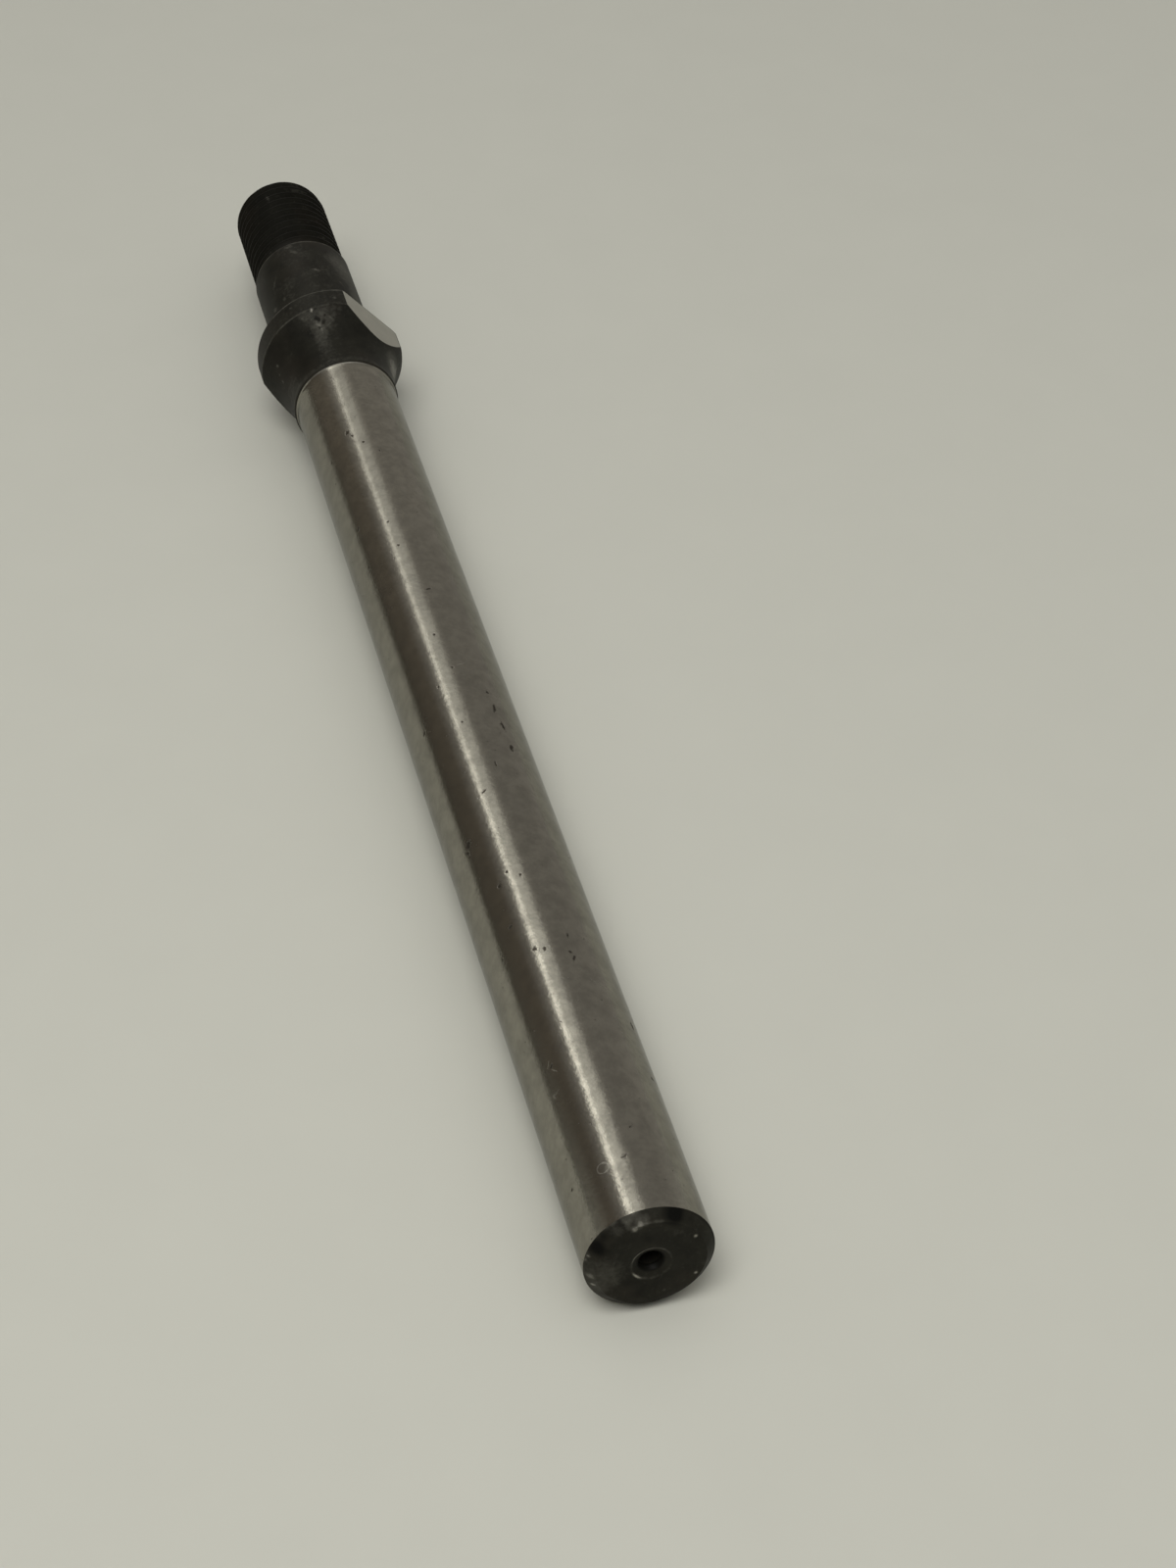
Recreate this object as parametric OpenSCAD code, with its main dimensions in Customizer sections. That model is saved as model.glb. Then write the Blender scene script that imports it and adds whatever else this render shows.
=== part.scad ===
// A threaded shoulder pin, turned from one steel bar: a ground shaft with a blackened, centred end,
// a flared collar with two spanner flats, a plain shank and a threaded stud.
// The bar lies along X. The origin is on its axis, in the collar's seating face.
// +X points to the free ground end, -X to the thread, and +Z is up as the pin lies.

/* [Ground shaft] */
// Diameter of the ground shaft
shaft_d = 25; // [20:0.5:30]
// Length from the end of the flare to the free end face, with the chamfer
shaft_length = 298; // [100:1:500]
// Length of the chamfer at the free end, which is as deep as it is long
end_chamfer = 2; // [0.5:0.25:4]
// How far the shaft is ground below the foot of the flare
grinding_step = 0.6; // [0.2:0.05:1.5]
// Radius that the grinding wheel leaves where the ground shaft ends
grinding_fillet = 3; // [2:0.25:8]

/* [Centre holes] */
// Diameter of the pilot hole
pilot_d = 4; // [2:0.25:6]
// Depth of the pilot hole below the end face
pilot_depth = 9; // [7:0.5:20]
// Mouth diameter of the cone that a machine centre sits in
centre_d = 8; // [6.5:0.25:12]
// Included angle of that cone
centre_angle = 60; // [60, 75, 90]

/* [Collar] */
// Diameter of the collar's rim
collar_d = 36; // [33:0.5:60]
// Width of the rim, from the seating face to the cone
rim_width = 7.5; // [3:0.25:20]
// Chamfer at the rim's edge on the seating side
rim_chamfer = 0.5; // [0.25:0.05:1]
// Angle between the cone and the pin's axis
cone_angle = 25; // [15:1:60]
// Radius of the fillet that leads into the cone
flare_fillet = 32; // [2:0.5:60]
// Plain length at the foot of the flare, between the ground shaft and the fillet
flare_run_in = 1.4; // [0.2:0.1:5]
// Distance across the two spanner flats
flats_across = 30; // [28:0.5:32]
// Angle of the flats about the axis, as the pin lies
flats_turn = 48; // [0:1:90]

/* [Shank] */
// Diameter of the plain shank
shank_d = 25; // [24:0.1:27]
// Length of the plain shank
shank_length = 35; // [10:0.5:80]
// Chamfer at the shank's edge next to the thread
shank_chamfer = 0.4; // [0.1:0.05:0.5]

/* [Thread] */
// Outer diameter of the right-hand thread
thread_d = 24; // [20:0.5:24]
// Distance from one turn of the thread to the next
thread_pitch = 3; // [1.5:0.25:3.5]
// Length of the threaded stud
thread_length = 35; // [10:0.5:80]
// Chamfer at the thread's free end
thread_chamfer = 2; // [1:0.25:3]
// Length over which the groove runs out before the shank
thread_run_out = 3; // [1:0.25:6]

/* [Hidden] */
$fn = 96;

black_oxide = "#343330";
ground_steel = "#9c9890";

shaft_r = shaft_d / 2;
collar_r = collar_d / 2;
shank_r = shank_d / 2;
thread_r = thread_d / 2;

// The flare: a plain foot, an arc that is tangent to the foot and to the cone, then the cone
foot_r = shaft_r + grinding_step;
fillet_r = min(flare_fillet, (collar_r - foot_r) / (1 - cos(cone_angle)));
fillet_tangent = fillet_r * tan(cone_angle / 2);
flare_length = flare_run_in + fillet_tangent + (collar_r - foot_r) / tan(cone_angle);

// The ground shaft rises to the foot of the flare along an arc that turns through this angle
grinding_turn = acos(1 - grinding_step / grinding_fillet);
arc_pieces = 10;

// Places along X
flare_x = rim_width + flare_length;
shaft_end_x = flare_x + shaft_length;
ground_end_x = shaft_end_x - end_chamfer;
stud_x = -shank_length;
stud_end_x = stud_x - thread_length;

// How far a cutting tool reaches past the metal that it cuts
overshoot = 1;
// Half of the angle at a drill's point
drill_half_angle = 59;

// Turns a flat outline, drawn as [radius, x], about the pin's axis.
module turned() {
    rotate([0, 90, 0]) rotate_extrude() children();
}

// A centre hole that runs into the metal along -X, with its mouth at x = 0.
module centre_hole() {
    pilot_r = pilot_d / 2;
    cone_slope = tan(centre_angle / 2);
    cone_depth = (centre_d / 2 - pilot_r) / cone_slope;
    turned() polygon([
        [0, overshoot],
        [centre_d / 2 + overshoot * cone_slope, overshoot],
        [pilot_r, -cone_depth],
        [pilot_r, -pilot_depth],
        [0, -pilot_depth - pilot_r / tan(drill_half_angle)],
    ]);
}

// The chamfered and blackened free end, with the mouth of its centre hole
module centred_end() {
    color(black_oxide) difference() {
        turned() polygon([
            [0, ground_end_x],
            [shaft_r, ground_end_x],
            [shaft_r - end_chamfer, shaft_end_x],
            [0, shaft_end_x],
        ]);
        translate([shaft_end_x, 0, 0]) centre_hole();
    }
}

// The long round shaft, ground bright over its whole length
module ground_shaft() {
    arc_start_x = flare_x + grinding_fillet * sin(grinding_turn);
    rise = [
        for (piece = [arc_pieces : -1 : 0])
            let (turn = grinding_turn * piece / arc_pieces)
                [shaft_r + grinding_fillet * (1 - cos(turn)), arc_start_x - grinding_fillet * sin(turn)],
    ];
    color(ground_steel) difference() {
        turned() polygon(concat([[0, flare_x]], rise, [[shaft_r, ground_end_x], [0, ground_end_x]]));
        translate([shaft_end_x, 0, 0]) centre_hole();
    }
}

// Half of the collar's section: the rim, the cone, the fillet that leads into it and the foot
module collar_outline() {
    fillet_start_x = flare_x - flare_run_in;
    fillet = [
        for (piece = [arc_pieces : -1 : 0])
            let (turn = cone_angle * piece / arc_pieces)
                [foot_r + fillet_r * (1 - cos(turn)), fillet_start_x - fillet_r * sin(turn)],
    ];
    polygon(concat(
        [[0, 0], [collar_r - rim_chamfer, 0], [collar_r, rim_chamfer], [collar_r, rim_width]],
        fillet,
        [[foot_r, flare_x], [0, flare_x]],
    ));
}

// The collar, with two flats milled across its rim and cone
module taper_collar() {
    color(black_oxide) difference() {
        turned() collar_outline();
        for (side = [0, 180])
            rotate([side - flats_turn, 0, 0])
                translate([-overshoot, -collar_r, flats_across / 2])
                    cube([flare_x + 2 * overshoot, collar_d, collar_r]);
    }
}

// The plain shank, which seats in a bored hole
module plain_shank() {
    color(black_oxide) turned() polygon([
        [0, stud_x],
        [shank_r - shank_chamfer, stud_x],
        [shank_r, stud_x + shank_chamfer],
        [shank_r, 0],
        [0, 0],
    ]);
}

// The thread's profile along the axis, as shares of the pitch. Each flank leans by 30 degrees.
crest_share = 1 / 8;
root_share = 1 / 4;
flank_share = (1 - crest_share - root_share) / 2;
flank_lean = 30;
groove_depth = thread_pitch * flank_share / tan(flank_lean);
// Where the crest and then the root start and end, and how deep the groove is at each corner
corner_at = [0, crest_share, crest_share + flank_share, crest_share + flank_share + root_share];
corner_depth = [0, 0, groove_depth, groove_depth];
corners = len(corner_at);

// The thread's skin is a mesh of columns round the axis. Each row of it follows one corner of the
// profile along the helix. In going round once, a row rises by one pitch and so by all the corners.
columns = 36;
rows = corners * (ceil(thread_length / thread_pitch) + 2);
// A corner nearer than this to an end of the stud is drawn in to that end
end_margin = thread_pitch / 50;

function row_z(column, row) =
    thread_pitch * (floor(row / corners) - 1 + corner_at[row % corners] + column / columns);

function row_r(z, row) =
    min(thread_r - corner_depth[row % corners] * max(0, min(1, z / thread_run_out)),
        thread_r - thread_chamfer + max(0, thread_length - z));

function at_angle(column, r, z) =
    let (angle = 360 * column / columns)
        [r * cos(angle), r * sin(angle), z];

// The mesh's points: a ring at each end of the stud, then the corners, column by column
function skin_points() = concat(
    [for (column = [0 : columns - 1]) at_angle(column, thread_r, 0)],
    [for (column = [0 : columns - 1]) at_angle(column, thread_r - thread_chamfer, thread_length)],
    [for (column = [0 : columns - 1], row = [0 : rows - 1])
        let (z = row_z(column, row))
            at_angle(column, row_r(z, row), z)]
);

// The number of the point at a column and row. The column after the last is the first again.
function point_at(column, row) =
    let (z = row_z(column, row), own = column % columns)
        z < end_margin ? own
        : z > thread_length - end_margin ? columns + own
        : 2 * columns + own * rows + row + (column == columns ? corners : 0);

// Two triangles for each square of the mesh, without those that an end has closed up
function skin_faces() = [
    for (column = [0 : columns - 1], row = [0 : rows - 2])
        let (
            a = point_at(column, row),
            b = point_at(column + 1, row),
            c = point_at(column, row + 1),
            d = point_at(column + 1, row + 1)
        )
            for (face = [[a, c, b], [b, c, d]])
                if (face[0] != face[1] && face[1] != face[2] && face[2] != face[0]) face
];

// The threaded stud, with a centre hole in its end face
module threaded_stud() {
    caps = [
        [for (column = [0 : columns - 1]) column],
        [for (column = [columns - 1 : -1 : 0]) columns + column],
    ];
    color(black_oxide) difference() {
        translate([stud_x, 0, 0]) rotate([0, -90, 0])
            polyhedron(points = skin_points(), faces = concat(skin_faces(), caps));
        translate([stud_end_x, 0, 0]) rotate([0, 0, 180]) centre_hole();
    }
}

centred_end();
ground_shaft();
taper_collar();
plain_shank();
threaded_stud();
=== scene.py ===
import math

import bmesh
import bpy
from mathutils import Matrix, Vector, noise


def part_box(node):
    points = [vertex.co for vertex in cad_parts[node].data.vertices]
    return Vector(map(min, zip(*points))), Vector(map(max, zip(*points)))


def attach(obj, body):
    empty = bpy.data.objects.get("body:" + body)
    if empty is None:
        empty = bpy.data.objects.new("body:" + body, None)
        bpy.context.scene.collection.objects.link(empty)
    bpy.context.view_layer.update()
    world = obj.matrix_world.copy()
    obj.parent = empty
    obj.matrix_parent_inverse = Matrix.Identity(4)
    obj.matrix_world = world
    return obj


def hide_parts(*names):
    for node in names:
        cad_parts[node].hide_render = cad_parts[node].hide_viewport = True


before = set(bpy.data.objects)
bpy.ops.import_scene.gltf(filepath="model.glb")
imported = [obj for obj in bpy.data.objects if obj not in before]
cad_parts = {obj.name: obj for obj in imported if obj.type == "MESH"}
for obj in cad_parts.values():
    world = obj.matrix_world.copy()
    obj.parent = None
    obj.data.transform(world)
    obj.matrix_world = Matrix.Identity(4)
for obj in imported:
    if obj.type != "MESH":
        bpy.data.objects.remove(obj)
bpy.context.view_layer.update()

# ---------------------------------------------------------------------------------------------
# The camera. It stands beyond the free end of the pin, a little to its left, and looks down along
# the ground shaft, so that the end face is near and the thread is far.
# ---------------------------------------------------------------------------------------------
camera_turn = math.radians(76.05)
camera_rise = math.radians(38.97)
camera_distance = 0.7186
camera_aim = Vector((0.1868, 0.0222, 0))

lens = bpy.data.cameras.new("camera")
lens.lens = 76.93
lens.sensor_width = 36
camera = bpy.data.objects.new("camera", lens)
outward = Vector((
    math.sin(camera_turn) * math.cos(camera_rise),
    -math.cos(camera_turn) * math.cos(camera_rise),
    math.sin(camera_rise),
))
camera.location = camera_aim + camera_distance * outward
camera.rotation_euler = (-outward).to_track_quat("-Z", "Y").to_euler()
bpy.context.scene.collection.objects.link(camera)
bpy.context.scene.camera = camera
bpy.context.scene.view_settings.view_transform = "Standard"

# ---------------------------------------------------------------------------------------------
# The table, a pale, matt top that rises far away into a backdrop all round. The pin lies on the rim
# of its collar and on the lower edge of its free end, so the table leans by a degree under it.
# ---------------------------------------------------------------------------------------------
mm = 0.001
table_reach = 2.4
backdrop_curve = 0.7
backdrop_height = 1.6
table_rings = 6
curve_steps = 12
table_around = 96
table_colour = (0.565, 0.565, 0.507, 1)
backdrop_colour = (0.52, 0.52, 0.465, 1)
patch_darkness = 0.985
# Past the first of these distances from its middle, the table starts to look evenly pale, and past
# the second it does so fully.
even_from = 0.9
even_beyond = 1.7
# Points that are nearer to each other than this become one point.
same_place = 1e-7
# Where two faces meet at more than this angle, their edge stays sharp.
sharp_corner = math.radians(32)


def turned(name, outline, around, closed=False):
    """Turns an outline of (x, radius) points about the X axis. A ring on the axis closes to a point."""
    shape = bmesh.new()
    rings = []
    for x, radius in outline:
        ring = []
        for step in range(around):
            angle = math.tau * step / around
            place = (x, radius * math.sin(angle), radius * math.cos(angle))
            ring.append(shape.verts.new(place))
        rings.append(ring)
    following = rings[1:] + rings[:1] if closed else rings[1:]
    for here, there in zip(rings, following):
        for step in range(around):
            after = (step + 1) % around
            shape.faces.new((here[step], here[after], there[after], there[step]))
    return finished(name, shape)


def finished(name, shape):
    """Closes up a bmesh and makes it an object with smooth faces and sharp corners."""
    bmesh.ops.remove_doubles(shape, verts=shape.verts, dist=same_place)
    bmesh.ops.recalc_face_normals(shape, faces=shape.faces)
    mesh = bpy.data.meshes.new(name)
    shape.to_mesh(mesh)
    shape.free()
    mesh.shade_smooth()
    mesh.set_sharp_from_angle(angle=sharp_corner)
    made = bpy.data.objects.new(name, mesh)
    bpy.context.scene.collection.objects.link(made)
    return made


def new_material(name):
    """A material with nothing in it but its output."""
    made = bpy.data.materials.new(name)
    made.use_nodes = True
    made.node_tree.nodes.clear()
    made.node_tree.nodes.new("ShaderNodeOutputMaterial")
    return made


def add(tree, kind, inputs=(), **settings):
    """Adds a node and returns its output. inputs gives its sockets, by name or in their order,
    a value or the output of another node."""
    made = tree.nodes.new("ShaderNode" + kind)
    for setting, value in settings.items():
        setattr(made, setting, value)
    if isinstance(inputs, dict):
        wanted = [(made.inputs[socket], value) for socket, value in inputs.items()]
    else:
        wanted = zip([socket for socket in made.inputs if socket.enabled], inputs)
    for socket, value in wanted:
        if isinstance(value, bpy.types.NodeSocket):
            tree.links.new(value, socket)
        else:
            socket.default_value = value
    return next(socket for socket in made.outputs if socket.enabled)


def show(tree, surface):
    """Links a shader to the tree's output."""
    output = next(n for n in tree.nodes if n.bl_idname.startswith("ShaderNodeOutput"))
    tree.links.new(surface, output.inputs["Surface"])


def share_between(tree, value, low, high, low_share=0.0, high_share=1.0):
    """Carries a value from low..high to low_share..high_share and holds it there."""
    return add(tree, "MapRange", (value, low, high, low_share, high_share))


def mix_colours(tree, share, first, second, way="MIX"):
    """Goes from the first colour to the second as share goes from 0 to 1."""
    return add(tree, "Mix", (share, first, second), data_type="RGBA", blend_type=way)


def distance_from_x(tree, part):
    """How far a place is from the X axis. part is the node that separates its coordinates."""
    across = add(tree, "CombineXYZ", (0.0, part.outputs["Y"], part.outputs["Z"]))
    return add(tree, "VectorMath", (across,), operation="LENGTH").node.outputs["Value"]


collar_low, collar_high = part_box("taper_collar")
shaft_low, shaft_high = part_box("ground_shaft")
end_low, end_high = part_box("centred_end")
rim_width = 7.5 * mm
lean = math.atan2(end_low.z - collar_low.z, shaft_high.x - rim_width)

flat_and_curve = [(0, table_reach * step / table_rings) for step in range(table_rings + 1)]
flat_and_curve += [
    (backdrop_curve - backdrop_curve * math.cos(turn), table_reach + backdrop_curve * math.sin(turn))
    for turn in [math.radians(90 * step / curve_steps) for step in range(1, curve_steps + 1)]
]
flat_and_curve += [(backdrop_height, table_reach + backdrop_curve)]
table = turned("table", flat_and_curve, table_around)
table.rotation_euler = (0, -math.pi / 2 - lean, 0)
table.location = (rim_width, 0, collar_low.z)

table_finish = new_material("table")
tree = table_finish.node_tree
place = add(tree, "TexCoord").node.outputs["Object"]
mottle = add(tree, "TexNoise", {"Vector": place, "Scale": 45.0, "Detail": 5.0})
darker_patch = [level * patch_darkness for level in table_colour]
mottle_colour = mix_colours(tree, share_between(tree, mottle, 0.3, 0.7), darker_patch, table_colour)
tooth = add(tree, "TexNoise", {"Vector": place, "Scale": 1400.0, "Detail": 2.0})
tooth_bump = add(tree, "Bump", {"Strength": 0.06, "Distance": 0.1 * mm, "Height": tooth})
near_top = add(tree, "BsdfPrincipled", {
    "Base Color": mottle_colour, "Roughness": 0.62, "Specular IOR Level": 0.25, "Normal": tooth_bump,
})
# Far from the pin, the table and its backdrop look evenly pale to the camera and in the steel.
from_middle = distance_from_x(tree, add(tree, "SeparateXYZ", (place,)).node)
rays = add(tree, "LightPath").node
seen = add(tree, "Math", (rays.outputs["Is Camera Ray"], rays.outputs["Is Glossy Ray"]), operation="MAXIMUM")
seen = add(tree, "Math", (seen, rays.outputs["Is Transmission Ray"]), operation="MAXIMUM")
distant = share_between(tree, from_middle, even_from, even_beyond)
far_off = add(tree, "Math", (distant, seen), operation="MULTIPLY")
backdrop = add(tree, "Emission", {"Color": backdrop_colour, "Strength": 1.0})
show(tree, add(tree, "MixShader", (far_off, near_top, backdrop)))
table.data.materials.append(table_finish)

# ---------------------------------------------------------------------------------------------
# The light. A soft, even ceiling is bright overhead and falls off towards the walls. Past the
# thread stands a dark wall with a tall pale window in it, which puts the dark bands and the
# bright streak on the round steel. The camera doesn't see that wall from any side.
# ---------------------------------------------------------------------------------------------
wall_x = -0.45
wall_half_width = 0.9
wall_height = 1.2
wall_foot = 0.5 * collar_low.z
room_tint = (1, 0.99, 0.96)
# How bright the ceiling is, from level with the table at 0 to straight overhead at 1
ceiling_levels = [(0.0, 0.15), (0.45, 0.20), (0.75, 0.60), (1.0, 0.95)]
# How bright the room is past the thread and past the free end
thread_side, free_side = 0.45, 1.35
panel_aim = Vector((0.15, 0, 0))


def colour_ramp(tree, share, stops):
    """Adds a colour ramp. stops gives the place of each stop, from 0 to 1, and its colour."""
    made = add(tree, "ValToRGB", (share,)).node
    elements = made.color_ramp.elements
    while len(elements) < len(stops):
        elements.new(0.5)
    for element, (position, colour) in zip(elements, stops):
        element.position = position
        element.color = colour
    return made


room = bpy.data.worlds.new("room")
bpy.context.scene.world = room
room.use_nodes = True
tree = room.node_tree
tree.nodes.clear()
tree.nodes.new("ShaderNodeOutputWorld")
toward = add(tree, "SeparateXYZ", (add(tree, "TexCoord").node.outputs["Generated"],)).node
ceiling = colour_ramp(tree, toward.outputs["Z"], [
    (height, (*[level * channel for channel in room_tint], 1)) for height, level in ceiling_levels
])
strength = share_between(tree, toward.outputs["X"], -0.9, 0.9, thread_side, free_side)
show(tree, add(tree, "Background", {"Color": ceiling.outputs["Color"], "Strength": strength}))

panel = bpy.data.lights.new("soft_panel", "AREA")
panel.shape = "SQUARE"
panel.size = 0.8
panel.energy = 11.3
panel.color = room_tint
panel_lamp = bpy.data.objects.new("soft_panel", panel)
panel_lamp.location = (0.75, -0.35, 1.35)
panel_lamp.rotation_euler = (panel_aim - panel_lamp.location).to_track_quat("-Z", "Y").to_euler()
bpy.context.scene.collection.objects.link(panel_lamp)

corners = [(-1, 0), (1, 0), (1, 1), (-1, 1)]
shape = bmesh.new()
shape.faces.new([
    shape.verts.new((wall_x, side * wall_half_width, wall_foot + up * wall_height))
    for side, up in corners
])
wall = finished("dark_wall", shape)
wall.visible_camera = False
wall.visible_diffuse = False
wall.visible_shadow = False

wall_finish = new_material("dark_wall")
tree = wall_finish.node_tree
place = add(tree, "SeparateXYZ", (add(tree, "TexCoord").node.outputs["Object"],)).node
turn = add(tree, "Math", (place.outputs["Y"], place.outputs["Z"]), operation="ARCTAN2")
across = share_between(tree, turn, -math.pi / 2, math.pi / 2)
brown, grey, white = (1, 0.87, 0.70), (1, 0.95, 0.87), (1, 0.985, 0.92)
# Bands round the wall's foot: degrees from upright, level, tint, and how far the band brightens
# away from the pin's axis.
wall_bands = [
    (-90, 0.065, brown, 0), (-80, 0.115, brown, 0), (-67, 0.14, brown, 0), (-48, 0.15, brown, 0),
    (-34, 0.26, grey, 0), (-27, 0.42, grey, 0), (-23.5, 0.84, white, 0.6), (-22, 2.25, white, 1),
    (-18.5, 2.25, white, 1), (-16.5, 0.98, white, 0.6), (-1, 0.84, white, 0.6), (8, 0.34, grey, 0),
    (18, 0.285, grey, 0), (60, 0.31, grey, 0), (90, 0.38, grey, 0),
]
bands = colour_ramp(tree, across, [
    ((degrees + 90) / 180, (*[level * channel for channel in tint], swell))
    for degrees, level, tint, swell in wall_bands
])
# The window is dimmer near the pin's axis than high up.
from_axis = distance_from_x(tree, place)
window_growth = share_between(tree, from_axis, 0.41, 0.67, -0.38, 0.30)
window_level = add(tree, "Math", (bands.outputs["Alpha"], window_growth, 1.0), operation="MULTIPLY_ADD")
# Low down, the wall is a little paler all over.
low_down = share_between(tree, from_axis, 0.47, 0.31)
haze = (0.080, 0.074, 0.064, 1)
paler = mix_colours(tree, low_down, bands.outputs["Color"], haze, way="ADD")
show(tree, add(tree, "Emission", {"Color": paler, "Strength": window_level}))
wall.data.materials.append(wall_finish)

# ---------------------------------------------------------------------------------------------
# The ground shaft. It is the long bearing length of the pin, turned from a steel bar and then
# ground between centres. Years of use have left it satin, with rust pits and a few scratches.
# ---------------------------------------------------------------------------------------------
shaft_radius = end_high.z
foot_radius = shaft_high.z
grinding_fillet = 3 * mm
skin_step = 1.0 * mm
shaft_around = 160
end_face_x = end_high.x
# A place on the shaft that is further out than this is on its skin, and not in its bore.
skin_from = 0.99 * shaft_radius
pit_depth = 0.03 * mm
deepest_rust = 0.85
roughest_scratch = 0.8
# Half the width of the line that a ring mark is drawn with, in mm
ring_line = 0.3
steel_dark = (0.262, 0.250, 0.217, 1)
steel_pale = (0.338, 0.324, 0.281, 1)
rust_brown = (0.026, 0.019, 0.013, 1)

# The centre hole: a wide, shallow guard cone, then the cone that a machine centre sits in, then the
# pilot hole.
pilot_radius = 2 * mm
pilot_depth = 9 * mm
centre_radius = 4 * mm
guard_slope = math.tan(math.radians(60))
seat_radius = 2.5 * mm
seat_slope = math.tan(math.radians(30))
drill_slope = math.tan(math.radians(59))
seat_depth = (centre_radius - seat_radius) / guard_slope
seat_end_depth = seat_depth + (seat_radius - pilot_radius) / seat_slope

# The larger rust pits: distance from the end face, degrees round from the top, length along the
# shaft, width and slant. Lengths are in mm.
rust_pits = [
    (268, -24, 1.4, 0.8, 20), (266, -20, 1.1, 0.6, -30), (262, -10, 0.9, 0.6, 0), (257, 4, 0.8, 0.5, 0),
    (262, -53, 0.8, 0.5, 0), (232, -49, 1.5, 0.8, 30), (228, -14, 0.7, 0.5, 0), (218, -12, 0.8, 0.5, 0),
    (217, -51, 0.8, 0.6, 0), (199, 2, 1.4, 0.6, 70), (182, -8, 0.8, 0.5, 0), (169, -2, 0.8, 0.6, 0),
    (164, -22, 0.7, 0.5, 0), (160, 25, 1.2, 0.8, 0), (154, 26, 2.8, 0.75, 10), (148, 29, 3.4, 0.6, -5),
    (140.5, 29.5, 2.4, 0.9, 10), (134, 6, 2.2, 0.5, 0), (154, -53, 1.1, 0.8, 0), (150, -11, 0.8, 0.5, 0),
    (126, -14, 1.2, 0.6, 50), (114, -46, 2.2, 1.2, 15), (112, -50, 1.4, 0.8, -20), (100, -19, 0.8, 0.5, 0),
    (98, -8, 0.7, 0.5, 0), (97, -30, 1.2, 1.0, 0), (85, -33, 1.2, 0.8, 40), (76, -19, 1.4, 0.9, 30),
    (75, -10, 1.0, 0.7, 0), (78, 15, 1.6, 0.6, 15), (73, 12, 1.4, 0.7, 0), (71, 13, 1.6, 0.6, 20),
    (90, -98, 1.0, 0.8, 0), (79, -52, 0.7, 0.5, 0), (55, 57, 1.8, 0.7, 0), (40, 57, 1.0, 0.6, 0),
    (45, -40, 1.2, 0.6, 30), (23, 8, 0.7, 0.5, 0), (16, -5, 1.4, 0.4, 60), (16, -62, 0.8, 0.6, 0),
]
# The scratches, listed in the same way. Their floors are rough, so they look light on dark steel.
scratches = [
    (46, -42, 3.4, 0.35, 28), (43.5, -38, 2.6, 0.35, -35), (38, -47, 8, 0.25, 68), (126, -14, 2.4, 0.3, 40),
    (126, -14, 2.0, 0.3, -48), (214, -60, 7, 0.3, 62),
    (96, -84, 9, 0.3, 50), (70, -92, 7, 0.3, 55), (188, 48, 5, 0.3, -40), (142, 40, 4, 0.25, 20),
    (64, 30, 5, 0.25, -65), (108, 62, 6, 0.3, 50), (170, 8, 3, 0.25, 75), (240, 30, 4, 0.25, 55),
]
# Rings that small hard grains pressed into the steel: distance from the end face, degrees, radius.
ring_marks = [(15, -26, 1.2), (75, -10, 1.1)]


def arc(x, radius, size, start, end, pieces):
    """Points on an arc about (x, radius), from one angle to another. Angle 0 is outwards."""
    turns = [math.radians(start + (end - start) * step / pieces) for step in range(pieces + 1)]
    return [(x + size * math.sin(turn), radius + size * math.cos(turn)) for turn in turns]


def fine(points, longest):
    """Splits the straight stretches between points into steps that are no longer than given."""
    split = [points[0]]
    for (x0, r0), (x1, r1) in zip(points, points[1:]):
        steps = max(1, math.ceil(math.hypot(x1 - x0, r1 - r0) / longest))
        split += [(x0 + (x1 - x0) * s / steps, r0 + (r1 - r0) * s / steps) for s in range(1, steps + 1)]
    return split


def reshape(piece, rule):
    """Moves each point of a turned piece. rule takes and returns x, angle and radius."""
    for point in piece.data.vertices:
        x, y, z = point.co
        x, angle, radius = rule(x, math.atan2(y, z), math.hypot(y, z))
        point.co = (x, radius * math.sin(angle), radius * math.cos(angle))
    piece.data.update()


def paint(piece, layer, rule):
    """Stores a number at each point of a turned piece, for its material to read. rule takes the
    point's x, angle and radius."""
    places = [point.co for point in piece.data.vertices]
    levels = [rule(x, math.atan2(y, z), math.hypot(y, z)) for x, y, z in places]
    piece.data.attributes.new(layer, "FLOAT", "POINT").data.foreach_set("value", levels)


# The depth that stands for a place far from every spot
far_outside = -9


def spot_depth(listed, at_length, angle, radius):
    """How deep a place lies in any of the listed spots: 1 at a spot's middle, 0 at its edge and less
    beyond. at_length is its place along the pin, measured as in the list. Lengths are in mm."""
    deepest = far_outside
    for middle, degrees, length, width, slant in listed:
        along = at_length - middle
        if abs(along) < 2 * max(length, width):
            across = (angle - math.radians(degrees)) * radius
            turn = math.radians(slant)
            lengthwise = (along * math.cos(turn) + across * math.sin(turn)) / length
            crosswise = (across * math.cos(turn) - along * math.sin(turn)) / width
            deepest = max(deepest, 1 - 2 * math.hypot(lengthwise, crosswise))
    return deepest


fillet_middle = (
    shaft_low.x + math.sqrt(grinding_fillet ** 2 - (grinding_fillet - foot_radius + shaft_radius) ** 2),
    shaft_radius + grinding_fillet,
)
fillet_turn = math.degrees(math.acos(1 - (foot_radius - shaft_radius) / grinding_fillet))
skin = arc(*fillet_middle, grinding_fillet, 180 + fillet_turn, 180, 6)
skin += [(shaft_high.x, shaft_radius)]


def pilot_bottom(face):
    """The outline of the bottom of a pilot hole that was drilled into a face."""
    return [(face - pilot_depth, pilot_radius), (face - pilot_depth - pilot_radius / drill_slope, 0)]


bore = [(shaft_high.x, pilot_radius)] + pilot_bottom(end_face_x)
shaft = turned("ground_shaft_skin", [(shaft_low.x, 0)] + fine(skin, skin_step) + bore, shaft_around)

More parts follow.
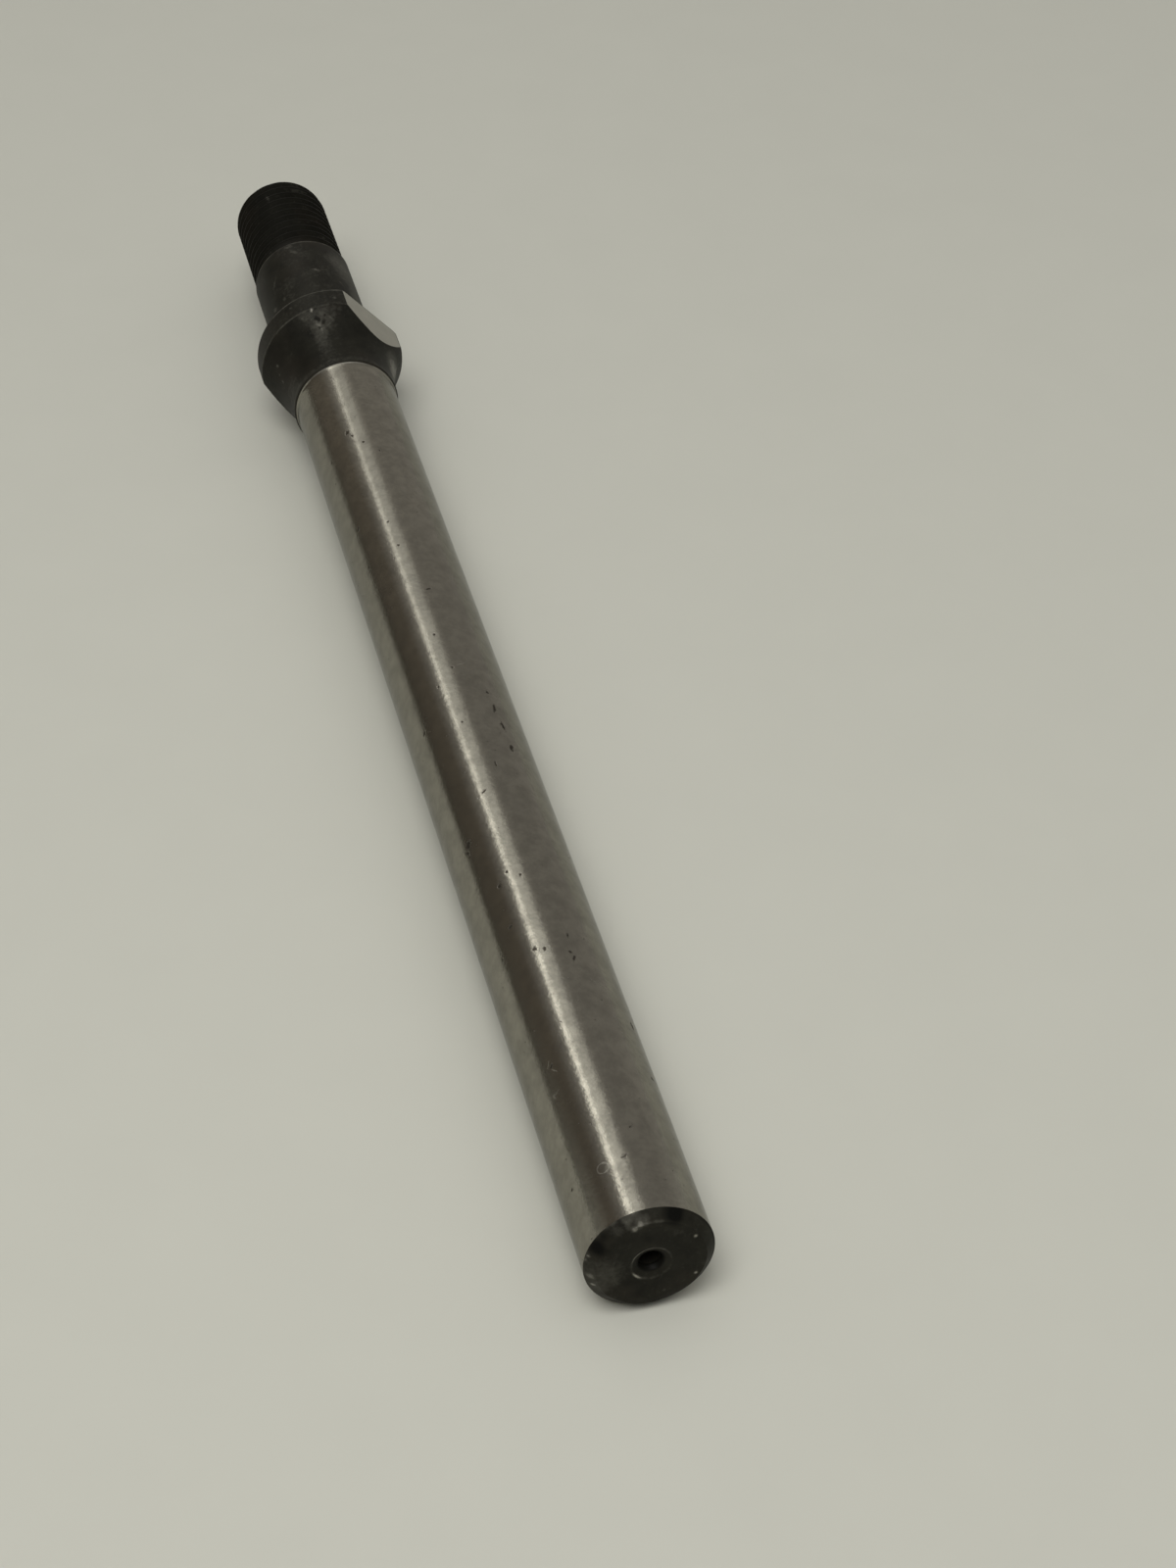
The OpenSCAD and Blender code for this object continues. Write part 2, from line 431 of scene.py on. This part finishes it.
# The mesh is made finer round each mark, so that the pits are sunk in it with ragged edges. Each pass
# gives the cuts across a face and the depth in a mark from which faces are cut.
finer_passes = [(3, -1.0), (1, -0.5)]
ring_areas = [(middle, degrees, 2 * size, 2 * size, 0) for middle, degrees, size in ring_marks]
all_marks = rust_pits + scratches + ring_areas
shape = bmesh.new()
shape.from_mesh(shaft.data)
for cuts, least_depth in finer_passes:
    near = []
    for face in shape.faces:
        x, y, z = face.calc_center_median()
        if math.hypot(y, z) > skin_from:
            from_end = (end_face_x - x) / mm
            if spot_depth(all_marks, from_end, math.atan2(y, z), shaft_radius / mm) > least_depth:
                near.append(face)
    edges = list({edge for face in near for edge in face.edges})
    bmesh.ops.subdivide_edges(shape, edges=edges, cuts=cuts, use_grid_fill=True)
shape.to_mesh(shaft.data)
shape.free()


def unevenness(from_end, angle, per_mm, per_radian, seed):
    """Smooth noise over the skin. It has so many lumps per mm along it and per radian round it."""
    return noise.noise(Vector((from_end * per_mm, angle * per_radian, seed)))


def rust_at(x, angle, radius):
    """How deep the rust is at a place, from 0 to 1. It reaches a little past each listed pit."""
    if radius < skin_from:
        return 0
    from_end = (end_face_x - x) / mm
    ragged = unevenness(from_end, angle, per_mm=1.6, per_radian=20, seed=0.5)
    ragged += 0.6 * unevenness(from_end, angle, per_mm=4.1, per_radian=52, seed=7.5)
    depth = spot_depth(rust_pits, from_end, angle, shaft_radius / mm)
    return max(0, min(deepest_rust, 1.7 * (depth + 0.2 + 0.6 * ragged)))


def scratch_at(x, angle, radius):
    """How rough a scratch or a ring is at a place, from 0 to 1."""
    if radius < skin_from:
        return 0
    from_end = (end_face_x - x) / mm
    broken = 0.5 * unevenness(from_end, angle, per_mm=1.1, per_radian=14, seed=3.5)
    depth = 1.5 * spot_depth(scratches, from_end, angle, shaft_radius / mm)
    for middle, degrees, size in ring_marks:
        out = math.hypot(from_end - middle, (angle - math.radians(degrees)) * shaft_radius / mm)
        depth = max(depth, 1 - abs(out - size) / ring_line)
    return max(0, min(roughest_scratch, depth + broken - 0.2))


def pitted(x, angle, radius):
    """Puts the skin's points back on the round and sinks them where there is rust."""
    if x > fillet_middle[0] and radius > skin_from:
        radius = shaft_radius - pit_depth * rust_at(x, angle, radius)
    return x, angle, radius


reshape(shaft, pitted)
paint(shaft, "rust", rust_at)
paint(shaft, "scratch", scratch_at)

ground_steel = new_material("ground_steel")
tree = ground_steel.node_tree
place = add(tree, "TexCoord").node.outputs["Object"]
pit = add(tree, "Attribute", attribute_name="rust").node.outputs["Fac"]
# Small pits lie all over, in the middles of some of the cells of a random pattern.
cells = add(tree, "TexVoronoi", {"Vector": place, "Scale": 640.0}).node
chosen = add(tree, "SeparateXYZ", (cells.outputs["Color"],)).node.outputs["X"]
middle_of_cell = share_between(tree, cells.outputs["Distance"], 0.15, 0.04)
few_cells = share_between(tree, chosen, 0.62, 0.97)
small_pit = add(tree, "Math", (middle_of_cell, few_cells), operation="MULTIPLY")
rust = add(tree, "Math", (pit, small_pit), operation="MAXIMUM")
cloud = add(tree, "TexNoise", {"Vector": place, "Scale": 240.0, "Detail": 8.0, "Roughness": 0.76})
clean = mix_colours(tree, share_between(tree, cloud, 0.40, 0.60), steel_dark, steel_pale)
colour = mix_colours(tree, rust, clean, rust_brown)
scratch = add(tree, "Attribute", attribute_name="scratch").node.outputs["Fac"]
harm = add(tree, "Math", (rust, scratch), operation="MAXIMUM")
clean_roughness = share_between(tree, cloud, 0.40, 0.60, 0.195, 0.14)
roughness = add(tree, "Math", (harm, 0.4, clean_roughness), operation="MULTIPLY_ADD")
# The lines of the grinding wheel run round the shaft.
drawn_out = add(tree, "Mapping", {"Vector": place, "Scale": (1, 0.08, 0.08)})
lines = add(tree, "TexNoise", {"Vector": drawn_out, "Scale": 1300.0, "Detail": 3.0})
grit = add(tree, "TexNoise", {"Vector": place, "Scale": 950.0, "Detail": 5.0, "Roughness": 0.65})
grit_bump = add(tree, "Bump", {"Strength": 1.0, "Distance": 0.040 * mm, "Height": grit})
line_bump = add(tree, "Bump", {
    "Strength": 0.15, "Distance": 0.02 * mm, "Height": lines, "Normal": grit_bump,
})
pit_bump = add(tree, "Bump", {
    "Strength": 0.3, "Distance": 0.05 * mm, "Height": rust, "Normal": line_bump,
})
pit_bump.node.invert = True
round_axis = add(tree, "Tangent", direction_type="RADIAL", axis="X")
show(tree, add(tree, "BsdfPrincipled", {
    "Base Color": colour, "Metallic": 1.0, "Roughness": roughness, "Anisotropic": 0.6,
    "Anisotropic Rotation": 0.25, "Tangent": round_axis, "Specular Tint": (0.62, 0.62, 0.62, 1),
    "Normal": pit_bump,
}))

shaft.data.materials.append(ground_steel)
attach(shaft, "root")
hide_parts("ground_shaft")

# ---------------------------------------------------------------------------------------------
# The free end. It keeps the black oxide that the grinding wheel took off the shaft. Its chamfer is
# bruised and worn, and in the middle is the centre hole that the pin was ground on.
# ---------------------------------------------------------------------------------------------
end_chamfer = end_high.x - end_low.x
end_around = 240
face_step = 0.22 * mm
mouth_break = 0.35 * mm
mouth_break_depth = 0.15 * mm
corner_radius = shaft_radius - end_chamfer
corner_reach = 0.9 * end_chamfer
corner_rounding = 0.08 * mm
# The bruises stay clear of the middle of the face, and of the foot of the chamfer, where the shaft
# starts.
bruised_radius = shaft_radius - 1.6 * end_chamfer
bruised_x = end_low.x + 0.05 * end_chamfer
bruise_inward = 0.34 * mm
bruise_back = 0.22 * mm
ring_half_width = 0.35
# Painted shade darkens the centre hole within this radius, and fades out over this length, in mm.
hole_shade_radius = 2.9
hole_shade_fade = 0.3
# How much of the grinding fillet is bright
bright_fillet = 1.1 * mm
# The grey of oxide worn thin, also used for painted highlights and reflections; the black of a pit in it,
# also used for painted shade; and the steel where the oxide is worn off, also reached by the brightest
# painted highlights
grey_of_wear_and_painted_light = (0.075, 0.072, 0.060, 1)
black_of_pits_and_painted_shade = (0.002, 0.002, 0.0015, 1)
steel_of_wear_and_painted_light = (0.30, 0.29, 0.255, 1)

# Marks on the end face: how far out they are along Y and Z, how wide they are, and how much the
# oxide is worn there, or how much blacker it is where that is below 0. Lengths are in mm.
end_marks = [
    (-3.3, 9.6, 1.7, 1.3), (-2.3, 10.4, 2.2, 0.8), (-1.2, 11.0, 2.4, 0.55), (-4.4, 10.9, 2.8, 0.6),
    # (4.5, 10.8), (7.4, 9.0), (-10.1, 5.7) and (-8.8, 8.0) blacken the chamfer at its top right and its
    # left, as a painted dark reflection.
    (-3.0, 11.9, 3.2, 0.5), (-6.6, 9.6, 3.2, 0.3), (4.5, 10.8, 5.6, -1.7), (7.4, 9.0, 2.6, -0.5),
    (-10.1, 5.7, 4.2, -1.7), (-8.8, 8.0, 2.2, -0.7), (-11.6, 3.4, 0.9, 0.9), (-12.0, 2.4, 0.7, 0.8),
    (8.2, 5.2, 1.2, 1.5), (8.4, -4.5, 1.1, 1.5), (-10.9, -3.7, 1.0, 1.0), (-11.4, -1.4, 2.2, 0.5),
    (-10.4, -4.4, 5.4, 0.4), (-8.2, -8.2, 4.0, 0.35), (-4.2, -10.4, 2.2, 0.3), (2.4, -7.6, 1.0, 0.6),
    # (-9.4, -0.8) lightens the left of the face, as a painted reflection of the table.
    (6.8, -8.9, 2.0, 0.4), (-9.4, -0.8, 11.0, 0.5), (-6.9, -3.0, 2.4, 0.2), (5.0, 7.0, 2.6, 0.22),
    (-1.0, 7.2, 3.4, -0.35), (4.0, -3.5, 3.0, -0.25), (-4.6, -4.2, 3.4, -0.45), (-2.5, -7.5, 3.0, -0.3),
    (10.4, -2.4, 2.6, 0.35), (3.0, 9.0, 2.4, 0.3),
]
# Rings on the end face: radius, degrees round from the top to the middle of the stretch that shows, half its
# reach in degrees, and wear, or how much blacker it is where that is below 0. The rings at 3.75 to 4 mm are
# a painted highlight round the lip of the centre hole; the others lighten or darken stretches along the
# chamfer's edges, and a faint ring on the face.
end_rings = [
    (10.6, 12, 36, 0.5), (12.45, -60, 70, 0.4), (12.4, 88, 60, -1.2), (3.75, -38, 70, 1.6),
    (3.75, 35, 60, 0.8), (4.0, -131, 22, 1.4), (3.95, -150, 60, 0.45), (3.9, 130, 80, 0.2),
    (7.4, -100, 60, 0.15),
]


def centre_hole_mouth(face):
    """The outline of a centre hole in a face, from its mouth to the top of its pilot hole."""
    return [
        (face, centre_radius + mouth_break), (face - mouth_break_depth, centre_radius),
        (face - seat_depth, seat_radius), (face - seat_end_depth, pilot_radius),
    ]


chamfer_and_face = [(end_low.x, shaft_radius), (end_face_x, corner_radius)]
chamfer_and_face += centre_hole_mouth(end_face_x) + [(end_low.x, pilot_radius)]
free_end = turned("centred_end_face", fine(chamfer_and_face, face_step), end_around, closed=True)


def noise_round(angle, lumps, seed):
    """Smooth noise round the pin, which meets itself again after a full turn."""
    return noise.noise(Vector((math.sin(angle) * lumps, math.cos(angle) * lumps, seed)))


def bruised(x, angle, radius):
    """Wears the chamfer unevenly, and rounds the corner between it and the face."""
    if x > bruised_x and radius > bruised_radius:
        wear = noise_round(angle, lumps=1.7, seed=3.1)
        wear = max(0, wear + 0.2 * noise_round(angle, lumps=5.27, seed=9.61))
        corner = max(0, 1 - abs(radius - corner_radius) / corner_reach)
        radius -= bruise_inward * wear * corner
        x -= (corner_rounding + bruise_back * wear) * corner ** 2
    return x, angle, radius


def end_wear_and_painted_light(x, angle, radius):
    """How worn the oxide on the free end is at a place, with the painted highlight, reflections and shade
    among its marks. Deep in the centre hole it is painted dark, as painted shade.
    """
    wear = 0.0
    y, z = radius * math.sin(angle) / mm, radius * math.cos(angle) / mm
    for mark_y, mark_z, width, strength in end_marks:
        wear += strength * max(0, 1 - 2 * math.hypot(y - mark_y, z - mark_z) / width)
    for ring, degrees, reach, strength in end_rings:
        aside = abs((math.degrees(angle) - degrees + 180) % 360 - 180)
        on_ring = max(0, 1 - abs(radius / mm - ring) / ring_half_width)
        wear += strength * on_ring * max(0, 1 - aside / reach)
    # Painted shade: blackens the inside of the centre hole.
    painted_shade = max(0, min(1, (hole_shade_radius - radius / mm) / hole_shade_fade))
    return wear - 0.8 * painted_shade


reshape(free_end, bruised)
paint(free_end, "wear", end_wear_and_painted_light)

black_oxide = new_material("black_oxide")


def oxide_surface(tree, dark, pale, sheen):
    """Black oxide over steel, between a dark and a pale level. The piece's painted wear first greys it and
    then rubs it off in grains, and wear below 0 makes it blacker. The wear layer also carries painted
    highlights and reflections, which grey the oxide and at their brightest bare it, and painted shade, which
    blackens it."""
    place = add(tree, "TexCoord").node.outputs["Object"]
    wear = add(tree, "Attribute", attribute_name="wear").node.outputs["Fac"]
    cloud = add(tree, "TexNoise", {"Vector": place, "Scale": 190.0, "Detail": 8.0, "Roughness": 0.68})
    brown = add(tree, "TexNoise", {"Vector": place, "Scale": 75.0, "Detail": 3.0})
    grain = add(tree, "TexNoise", {"Vector": place, "Scale": 1100.0, "Detail": 5.0, "Roughness": 0.6})
    rubbed_and_painted_light = add(tree, "Math", (grain, 0.8, wear), operation="MULTIPLY_ADD")
    dark_film = (dark, dark * 0.95, dark * 0.70, 1)
    pale_film = (pale, pale * 0.95, pale * 0.70, 1)
    brown_film = (pale * 1.2, pale * 0.95, pale * 0.7, 1)
    film = mix_colours(tree, share_between(tree, cloud, 0.34, 0.66), dark_film, pale_film)
    film = mix_colours(tree, share_between(tree, brown, 0.5, 0.8, 0, 0.7), film, brown_film)
    film = mix_colours(tree, share_between(tree, rubbed_and_painted_light, 0.45, 1.25), film, grey_of_wear_and_painted_light)
    film = mix_colours(tree, share_between(tree, wear, 0, -1), film, black_of_pits_and_painted_shade)
    bare_and_painted_light = share_between(tree, rubbed_and_painted_light, 0.95, 1.7)
    colour = mix_colours(tree, bare_and_painted_light, film, steel_of_wear_and_painted_light)
    bump = add(tree, "Bump", {"Strength": 0.3, "Distance": 0.04 * mm, "Height": grain})
    return add(tree, "BsdfPrincipled", {
        "Base Color": colour, "Metallic": share_between(tree, bare_and_painted_light, 0.05, 0.6), "Normal": bump,
        "Roughness": share_between(tree, bare_and_painted_light, 0, 1, 0.50, 0.36), "Specular IOR Level": sheen,
    })


show(black_oxide.node_tree, oxide_surface(black_oxide.node_tree, dark=0.0105, pale=0.0215, sheen=0.08))

# The pilot hole is lined with old grease, which is black and dull.
black_grease = new_material("black_grease")
show(black_grease.node_tree, add(black_grease.node_tree, "BsdfPrincipled", {
    "Base Color": (0.016, 0.015, 0.012, 1), "Roughness": 0.6, "Specular IOR Level": 0.05,
}))
shaft.data.materials.append(black_oxide)
shaft.data.materials.append(black_grease)
for face in shaft.data.polygons:
    if face.center.x < fillet_middle[0] - bright_fillet:
        face.material_index = 1
    elif math.hypot(face.center.y, face.center.z) < 1.1 * pilot_radius:
        face.material_index = 2

free_end.data.materials.append(black_oxide)
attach(free_end, "root")
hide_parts("centred_end")

# ---------------------------------------------------------------------------------------------
# The collar. It is turned with the bar: a flare, a short cone and a plain rim, all blackened. Two
# flats for a spanner were milled across it afterwards, so they are bright.
# ---------------------------------------------------------------------------------------------
rim_radius = collar_high.z
rim_chamfer = 0.5 * mm
cone_angle = math.radians(25)
flare_fillet = 32 * mm
flare_run_in = 1.4 * mm
flats_across = 30 * mm
flats_turn = math.radians(48)
flare_steps = 24
collar_step = 0.3 * mm
collar_around = 360
# How far the edge between the rim and the cone is broken, on the cone and on the rim
cone_break = 0.12 * mm
rim_break = 0.15 * mm
pits_sink = 0.10 * mm
burr = 0.25 * mm
ragged_size = 1.1 * mm
ragged_reach = 0.35 * mm
line_half_width = 0.35 * mm
flat_dark = (0.285, 0.272, 0.240, 1)
flat_pale = (0.345, 0.330, 0.292, 1)

# Marks on the collar: place along X, degrees round from the top, length, width, slant, and wear, or how much
# blacker it is where that is below 0. Lengths are in mm. The long mark at 19 mm, -14 degrees is a painted
# sheen streak down the cone below the worn patch; the broad blacker marks at -40, -62 and 22 degrees are
# painted shade on the cone; and the wide marks at 74 to 92 degrees are a painted reflection of the table on
# the right of the flare.
collar_marks = [
    (8.0, -15, 1.6, 0.8, 0, 0.95), (8.6, -22, 3.4, 5.0, 0, 0.28), (9.0, -3, 4.0, 9.0, 0, 0.22),
    (10.8, -13, 8.0, 8.5, 0, 0.24), (12.5, -7, 7.0, 6.0, 0, 0.18), (14.5, -15, 10.0, 4.5, 0, 0.28),
    (9.4, -9, 1.6, 1.4, 0, 0.25), (11.2, -1, 1.8, 0.7, 30, 0.38), (12.4, -19, 1.4, 1.2, 0, 0.2),
    (10.4, 2, 1.6, 1.2, 0, 0.25), (19, -14, 16, 5.0, 0, 0.20), (10.6, -13, 1.7, 1.1, 20, -0.95),
    (11.9, -9, 1.5, 1.0, -30, -0.85), (10.2, -5.5, 1.2, 0.8, 0, -0.8), (13.2, -14, 1.1, 0.9, 0, -0.7),
    (9.2, -24, 1.2, 0.6, 40, 0.4), (10.0, -19, 2.4, 0.5, 55, 0.25), (12.6, -3, 2.6, 0.6, -50, 0.3),
    (13, -40, 12, 5.0, 0, -0.3), (11, -62, 8, 8.0, 0, -0.3), (20, -40, 9, 8.0, 0, -0.3),
    (14, 22, 10, 8.0, 0, -0.2), (12.6, -71, 1.6, 0.8, 40, 0.8), (16.1, -80, 1.2, 0.8, 0, 0.7),
    (14.2, -76, 1.1, 0.6, 0, 0.6), (22.5, -75, 9.0, 9.0, 0, 0.24), (25.0, -58, 4.0, 7.0, 0, 0.15),
    (17.0, 80, 11.0, 11.0, 0, 0.8), (13.0, 92, 8.0, 6.0, 0, 0.30), (22.0, 74, 7.0, 5.0, 0, 0.28),
    (4.5, 6, 1.2, 0.9, 0, 0.5), (3.0, -30, 1.4, 0.8, 30, 0.5), (20.5, 150, 6.0, 5.0, 0, 0.4),
    (9.6, 170, 5.0, 3.0, 20, 0.5), (14.0, -140, 4.0, 1.0, 60, 0.8), (5.0, 140, 3.0, 0.8, 50, 0.8),
    (11.0, -165, 2.0, 1.5, 0, -1.5),
]

fillet_start = collar_high.x - flare_run_in
flare = [(collar_high.x, 0), (collar_high.x, foot_radius), (fillet_start, foot_radius)]
flare += [
    (fillet_start - flare_fillet * math.sin(turn), foot_radius + flare_fillet * (1 - math.cos(turn)))
    for turn in [cone_angle * step / flare_steps for step in range(1, flare_steps + 1)]
]
flare += [
    (rim_width + cone_break, rim_radius - cone_break * math.tan(cone_angle)),
    (rim_width - rim_break, rim_radius),
    (rim_chamfer, rim_radius), (0, rim_radius - rim_chamfer), (0, 0),
]
outer = fine(flare[1:-1], collar_step)
collar = turned("taper_collar_body", [flare[0]] + outer + [flare[-1]], collar_around)


def marks_at(listed, x, angle, radius):
    """The sum of the listed marks at a place. Their edges are ragged."""
    wear = 0.0
    spot = Vector((x, radius * math.sin(angle), radius * math.cos(angle))) / ragged_size
    x += ragged_reach * noise.noise(spot)
    angle += ragged_reach * noise.noise(spot + Vector((9, 5, 2))) / shaft_radius
    for mark_x, degrees, length, width, slant, strength in listed:
        depth = spot_depth([(mark_x, degrees, length, width, slant)], x / mm, angle, radius / mm)
        share = max(0, depth)
        wear += strength * share * (2 - share)
    return wear


def worn_line(x, edge, angle, seed):
    """Wear along an edge that runs round the pin: strongest at the edge, and broken by hard use."""
    broken = 0.6 + 0.9 * noise_round(angle, 2.2, seed) + 0.5 * noise_round(angle, 9, seed)
    return max(0, broken) * max(0, 1 - abs(x - edge) / line_half_width)


def collar_wear_and_painted_light(x, angle, radius):
    """How worn the oxide on the collar is at a place, with the painted sheen, shade and reflection among its
    marks.
    """
    on_rim = 0.06 if x < rim_width and radius > foot_radius else 0.0
    lines = 0.55 * worn_line(x, rim_width, angle, seed=1.5)
    lines += 0.6 * worn_line(x, 1.5 * rim_chamfer, angle, seed=4.5)
    on_foot = 0.15 if x > fillet_start else 0.0
    return on_rim + on_foot + lines + marks_at(collar_marks, x, angle, radius)


# The blacker marks: pits in the steel, and the broad painted shade on the cone.
collar_pits_and_painted_shade = [mark for mark in collar_marks if mark[-1] < 0]


def dented(x, angle, radius):
    """Sinks the blacker marks: the pits in the steel, and the broad painted shade on the cone, which becomes
    shallow hollows.
    """
    return x, angle, radius + pits_sink * max(-1, marks_at(collar_pits_and_painted_shade, x, angle, radius))


paint(collar, "wear", collar_wear_and_painted_light)
reshape(collar, dented)

shape = bmesh.new()
shape.from_mesh(collar.data)
for side in (1, -1):
    facing = Vector((0, side * math.sin(flats_turn), side * math.cos(flats_turn)))
    cut = bmesh.ops.bisect_plane(
        shape, geom=shape.verts[:] + shape.edges[:] + shape.faces[:], dist=same_place,
        plane_co=facing * flats_across / 2, plane_no=facing, clear_outer=True,
    )
    rim_edges = [e for e in cut["geom_cut"] if isinstance(e, bmesh.types.BMEdge)]
    filled = bmesh.ops.contextual_create(shape, geom=rim_edges)
    bmesh.ops.inset_region(shape, faces=filled["faces"], thickness=burr)
    for face in filled["faces"]:
        face.material_index = 1
shape.to_mesh(collar.data)
shape.free()
collar.data.set_sharp_from_angle(angle=sharp_corner)

worn_oxide = new_material("worn_oxide")
show(worn_oxide.node_tree, oxide_surface(worn_oxide.node_tree, dark=0.0072, pale=0.0162, sheen=0.08))

milled_flat = new_material("milled_flat")
tree = milled_flat.node_tree
place = add(tree, "TexCoord").node.outputs["Object"]
drawn_out = add(tree, "Mapping", {"Vector": place, "Scale": (0.03, 1, 1)})
cutter_lines = add(tree, "TexNoise", {"Vector": drawn_out, "Scale": 2500.0, "Detail": 2.0})
cloud = add(tree, "TexNoise", {"Vector": place, "Scale": 220.0, "Detail": 4.0})
colour = mix_colours(tree, share_between(tree, cloud, 0.3, 0.7), flat_dark, flat_pale)
bump = add(tree, "Bump", {"Strength": 0.12, "Distance": 0.02 * mm, "Height": cutter_lines})
show(tree, add(tree, "BsdfPrincipled", {
    "Base Color": colour, "Metallic": 1.0, "Roughness": 0.30, "Normal": bump,
}))
collar.data.materials.append(worn_oxide)
collar.data.materials.append(milled_flat)
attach(collar, "root")
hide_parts("taper_collar")

# ---------------------------------------------------------------------------------------------
# The plain shank. It is the blackened length that seats in a bored hole, up to the collar's face.
# Fitting it has scuffed it and has worn its corner next to the thread.
# ---------------------------------------------------------------------------------------------
shank_low, shank_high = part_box("plain_shank")
shank_radius = shank_high.z
shank_chamfer = 0.4 * mm
shank_step = 0.3 * mm
shank_around = 240

# Marks on the shank, listed in the same way as the collar's. The wide marks at 48 to 70 degrees, at -24, -12
# and -9 mm, are a painted reflection of the table on the right of the shank, and the wide blacker mark at -8
# mm, -52 degrees is painted shade on its left.
shank_marks = [
    (-30, -12, 3.4, 1.4, 35, 0.45), (-33.4, -16, 1.6, 3.0, 0, 0.4), (-19.5, 6, 3.0, 0.9, 60, 0.5),
    (-12.6, -60, 3.0, 1.6, 25, 0.6), (-12.3, -42, 2.2, 1.2, 0, 0.5), (-24, 48, 20, 10.0, 10, 0.5),
    (-12, 52, 12, 6.0, 0, 0.3), (-9, 70, 9, 4.5, 0, 0.25), (-17, -28, 8.0, 6.0, 0, 0.10),
    (-8, -52, 14, 9.0, 0, -0.3), (-26, 26, 7.0, 5.0, 20, 0.14), (-14, 34, 5.0, 0.7, 15, 0.4),
    (-22, -48, 6.0, 0.7, -25, 0.4), (-6, -20, 5.0, 3.0, 0, 0.2),
    (-16, 130, 12, 5.0, 15, 0.35), (-24, -150, 9.0, 4.0, -20, 0.35), (-8, 175, 5.0, 1.0, 50, 0.6),
]

shank_skin = fine([
    (shank_low.x, shank_radius - shank_chamfer), (shank_low.x + shank_chamfer, shank_radius),
    (shank_high.x, shank_radius),
], shank_step)
shank_outline = [(shank_low.x, 0)] + shank_skin + [(shank_high.x, 0)]
shank = turned("plain_shank_body", shank_outline, shank_around)


def shank_wear_and_painted_light(x, angle, radius):
    """How worn the oxide on the shank is at a place, with the painted reflection and shade among its marks.
    """
    rubbing = 0.20 * noise.noise(Vector((x * 160, math.sin(angle) * 2.6, math.cos(angle) * 2.6)))
    on_corner = 1.1 * worn_line(x, shank_low.x + 1.5 * shank_chamfer, angle, seed=8.5)
    return rubbing + on_corner + marks_at(shank_marks, x, angle, radius)


paint(shank, "wear", shank_wear_and_painted_light)
shank.data.materials.append(worn_oxide)
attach(shank, "root")
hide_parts("plain_shank")

# ---------------------------------------------------------------------------------------------
# The threaded stud. Its right-hand thread was cut on the lathe, runs out before the shank and is chamfered
# at its tip. It is blackened and oily, and its crests carry painted shade, so its turns hardly show.
# ---------------------------------------------------------------------------------------------
stud_low, stud_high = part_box("threaded_stud")
thread_radius = stud_high.z
thread_length = stud_high.x - stud_low.x
thread_pitch = 3 * mm
thread_chamfer = 2 * mm
thread_run_out = 3 * mm
thread_columns = 180
# The thread's profile, as rows of the mesh along one pitch: the crest, a flank, the root and the
# other flank. Each flank leans by the same angle.
crest_rows = 2
flank_rows = 5
root_rows = 4
rows_per_pitch = crest_rows + flank_rows + root_rows + flank_rows
flank_lean = math.radians(30)
groove_depth = thread_pitch * flank_rows / rows_per_pitch / math.tan(flank_lean)
# A place on the thread that is further out than this is on a crest.
crest_from = 0.985 * thread_radius
# The run-out next to the shank is painted dark over this length, as painted shadow.
run_out_shade_length = 1.2 * mm

# Marks on the thread, listed in the same way as the collar's.
stud_marks = [
    (-62.3, -21, 1.6, 1.2, 0, 1.0), (-66, 20, 5.0, 9.0, 0, 0.2), (-40, 40, 6.0, 5.0, 0, 0.15),
    (-52, 160, 8.0, 4.0, 20, 0.3),
]


def groove(row):
    """How deep the groove is at a row of the profile."""
    root_end = crest_rows + flank_rows + root_rows
    down = min(1, max(0, (row - crest_rows) / flank_rows))
    up = min(1, max(0, (row - root_end) / flank_rows))
    return groove_depth * (down - up)


def thread_column(turns):
    """The points of one column of the thread, from the shank to the bottom of the centre hole."""
    column = [(0, 0)]
    for row in range((math.ceil(thread_length / thread_pitch) + 2) * rows_per_pitch):
        from_shank = thread_pitch * (row / rows_per_pitch - 1 + turns)
        from_shank = min(thread_length, max(0, from_shank))
        cut = groove(row % rows_per_pitch) * min(1, from_shank / thread_run_out)
        tip = thread_radius - thread_chamfer + thread_length - from_shank
        column.append((from_shank, min(thread_radius - cut, tip)))
    return column + centre_hole_mouth(thread_length) + pilot_bottom(thread_length)


shape = bmesh.new()
columns = []
for step in range(thread_columns + 1):
    angle = math.tau * step / thread_columns
    columns.append([
        shape.verts.new((stud_high.x - x, radius * math.sin(angle), radius * math.cos(angle)))
        for x, radius in thread_column(step / thread_columns)
    ])
for here, there in zip(columns, columns[1:]):
    for row in range(len(here) - 1):
        shape.faces.new((here[row], there[row], there[row + 1], here[row + 1]))
stud = finished("threaded_stud_body", shape)


def thread_wear_and_painted_shade(x, angle, radius):
    """How worn the oxide on the thread is at a place. The crests are painted blacker, as painted shade that
    dims the light they catch, and the run-out next to the shank is painted dark, as painted shadow."""
    crest_painted_shade = -0.35 if radius > crest_from else 0.0
    painted_shade = -1.2 * max(0, 1 - (stud_high.x - x) / run_out_shade_length)
    return crest_painted_shade + painted_shade + marks_at(stud_marks, x, angle, radius)


paint(stud, "wear", thread_wear_and_painted_shade)

black_thread = new_material("black_thread")
show(black_thread.node_tree, oxide_surface(black_thread.node_tree, dark=0.0062, pale=0.0105, sheen=0.05))
stud.data.materials.append(black_thread)
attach(stud, "root")
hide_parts("threaded_stud")
